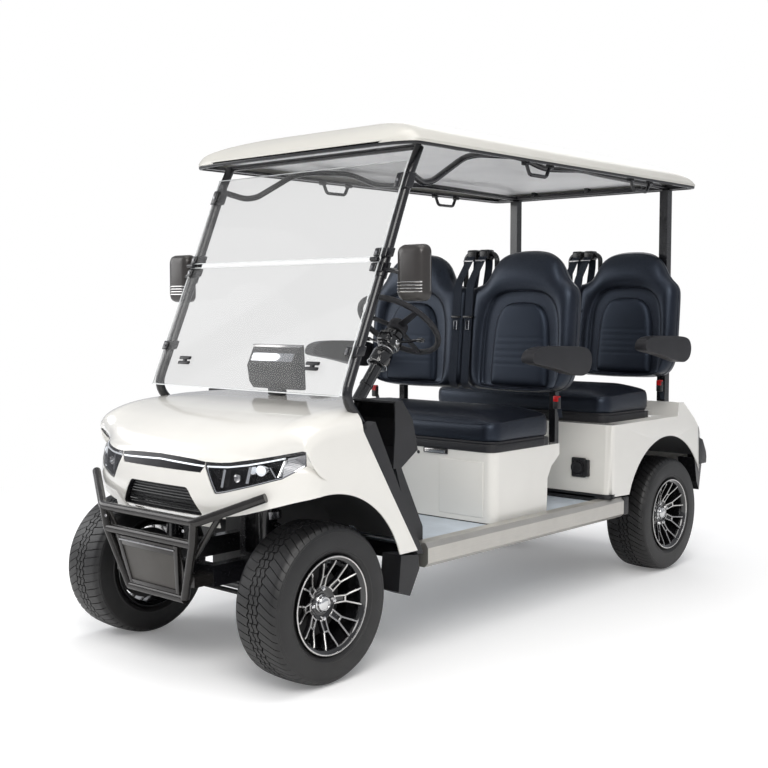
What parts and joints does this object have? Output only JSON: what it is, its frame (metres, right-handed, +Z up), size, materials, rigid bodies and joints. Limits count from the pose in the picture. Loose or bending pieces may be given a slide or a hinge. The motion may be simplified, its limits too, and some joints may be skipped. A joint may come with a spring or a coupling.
{
  "type": "golf cart",
  "caption": "Electric golf cart with two forward-facing bench rows, a roof, a clear two-piece windshield and alloy wheels.",
  "frame": {"origin": "on the ground below the middle of the cart's bounding box", "axes": "+Z up, the front faces -Y, +X is the cart's left (the driver's side)"},
  "size_m": [1.444, 3.15, 2.0749],
  "materials": {
    "body_white": "gloss off-white moulded panels",
    "frame_black": "satin black powder coat",
    "floor_grey": "matte light grey floor covering",
    "sill_alu": "champagne anodised aluminium",
    "trim_black": "textured black plastic",
    "lamp_clear": "clear lens over a dark housing",
    "lamp_red": "red lens",
    "pane": "clear acrylic",
    "seat_skin": "black-blue synthetic leather",
    "webbing": "woven belt webbing",
    "tyre": "matte black rubber",
    "wheel_alloy": "black with machined faces"
  },
  "bodies": {
    "cart_body": {"front_cowl": "body_white", "front_seat_box": "body_white", "rear_body": "body_white", "roof_shell": "body_white", "chassis_frame": "frame_black", "windshield_frame": "frame_black", "roof_frame": "frame_black", "rear_posts": "frame_black", "brush_guard": "frame_black", "front_seat_frame": "frame_black", "rear_seat_frame": "frame_black", "front_axle": "frame_black", "rear_axle": "frame_black", "battery_pack": "frame_black", "drive_motor": "frame_black", "floor_pan": "floor_grey", "sills": "sill_alu", "dash_panel": "trim_black", "display_box": "trim_black", "pedals": "trim_black", "steering_column": "trim_black", "cowl_trim": "trim_black", "wheel_liners": "trim_black", "mirrors": "trim_black", "rear_bumper": "trim_black", "grille": "trim_black", "headlamps": "lamp_clear", "tail_lamps": "lamp_red", "windshield_panes": "pane", "front_seat_backs": "seat_skin", "rear_seat_backs": "seat_skin", "seat_belts": "webbing"},
    "steering_wheel": {"steering_wheel": "trim_black"},
    "tie_rod": {"tie_rod": "frame_black"},
    "front_lid": {"front_seat_tray": "trim_black", "front_cushion": "seat_skin"},
    "rear_lid": {"rear_seat_tray": "trim_black", "rear_cushion": "seat_skin"},
    "knuckle_left": {"knuckle_left": "frame_black"},
    "knuckle_right": {"knuckle_right": "frame_black"},
    "wheel_front_left": {"tyre_front_left": "tyre", "rim_front_left": "wheel_alloy"},
    "wheel_front_right": {"tyre_front_right": "tyre", "rim_front_right": "wheel_alloy"},
    "wheel_rear_left": {"tyre_rear_left": "tyre", "rim_rear_left": "wheel_alloy"},
    "wheel_rear_right": {"tyre_rear_right": "tyre", "rim_rear_right": "wheel_alloy"},
    "armrest_front_left": {"armrest_front_left": "trim_black"},
    "armrest_front_right": {"armrest_front_right": "trim_black"},
    "armrest_rear_left": {"armrest_rear_left": "trim_black"},
    "armrest_rear_right": {"armrest_rear_right": "trim_black"}
  },
  "joints": [
    {"name": "steer_left", "type": "hinge", "parent": "cart_body", "child": "knuckle_left", "pos_m": [0.372, -1.229, 0.281], "axis": [0, 0, 1], "range_deg": [-28, 28]},
    {"name": "steer_right", "type": "hinge", "parent": "cart_body", "child": "knuckle_right", "pos_m": [-0.372, -1.229, 0.281], "axis": [0, 0, 1], "range_deg": [-28, 28]},
    {"name": "steering_wheel_turn", "type": "hinge", "parent": "cart_body", "child": "steering_wheel", "pos_m": [0.3, -0.539, 1.235], "axis": [0, 0.6428, 0.766], "range_deg": [-365, 365]},
    {"name": "tie_rod_slide", "type": "slide", "parent": "cart_body", "child": "tie_rod", "axis": [1, 0, 0], "range_m": [-0.052, 0.052]},
    {"name": "wheel_front_left_spin", "type": "hinge", "parent": "knuckle_left", "child": "wheel_front_left", "pos_m": [0.5, -1.229, 0.281], "axis": [1, 0, 0], "continuous": true},
    {"name": "wheel_front_right_spin", "type": "hinge", "parent": "knuckle_right", "child": "wheel_front_right", "pos_m": [-0.5, -1.229, 0.281], "axis": [1, 0, 0], "continuous": true},
    {"name": "wheel_rear_left_spin", "type": "hinge", "parent": "cart_body", "child": "wheel_rear_left", "pos_m": [0.5, 1.171, 0.281], "axis": [1, 0, 0], "continuous": true},
    {"name": "wheel_rear_right_spin", "type": "hinge", "parent": "cart_body", "child": "wheel_rear_right", "pos_m": [-0.5, 1.171, 0.281], "axis": [1, 0, 0], "continuous": true},
    {"name": "front_lid_hinge", "type": "hinge", "parent": "cart_body", "child": "front_lid", "pos_m": [0, 0.231, 0.707], "axis": [-1, 0, 0], "range_deg": [0, 40]},
    {"name": "armrest_front_left_fold", "type": "hinge", "parent": "cart_body", "child": "armrest_front_left", "pos_m": [0.634, 0.301, 1.09], "axis": [-1, 0, 0], "range_deg": [0, 90]},
    {"name": "armrest_front_right_fold", "type": "hinge", "parent": "cart_body", "child": "armrest_front_right", "pos_m": [-0.634, 0.301, 1.09], "axis": [-1, 0, 0], "range_deg": [0, 90]},
    {"name": "rear_lid_hinge", "type": "hinge", "parent": "cart_body", "child": "rear_lid", "pos_m": [0, 1.111, 0.7665], "axis": [-1, 0, 0], "range_deg": [0, 40]},
    {"name": "armrest_rear_left_fold", "type": "hinge", "parent": "cart_body", "child": "armrest_rear_left", "pos_m": [0.634, 1.221, 1.117], "axis": [-1, 0, 0], "range_deg": [0, 90]},
    {"name": "armrest_rear_right_fold", "type": "hinge", "parent": "cart_body", "child": "armrest_rear_right", "pos_m": [-0.634, 1.221, 1.117], "axis": [-1, 0, 0], "range_deg": [0, 90]}
  ],
  "couplings": [
    {"joint": "steer_right", "follows": "steer_left", "ratio": 1},
    {"joint": "steering_wheel_turn", "follows": "steer_left", "ratio": 13},
    {"joint": "tie_rod_slide", "follows": "steer_left", "m_per_rad": -0.105}
  ]
}
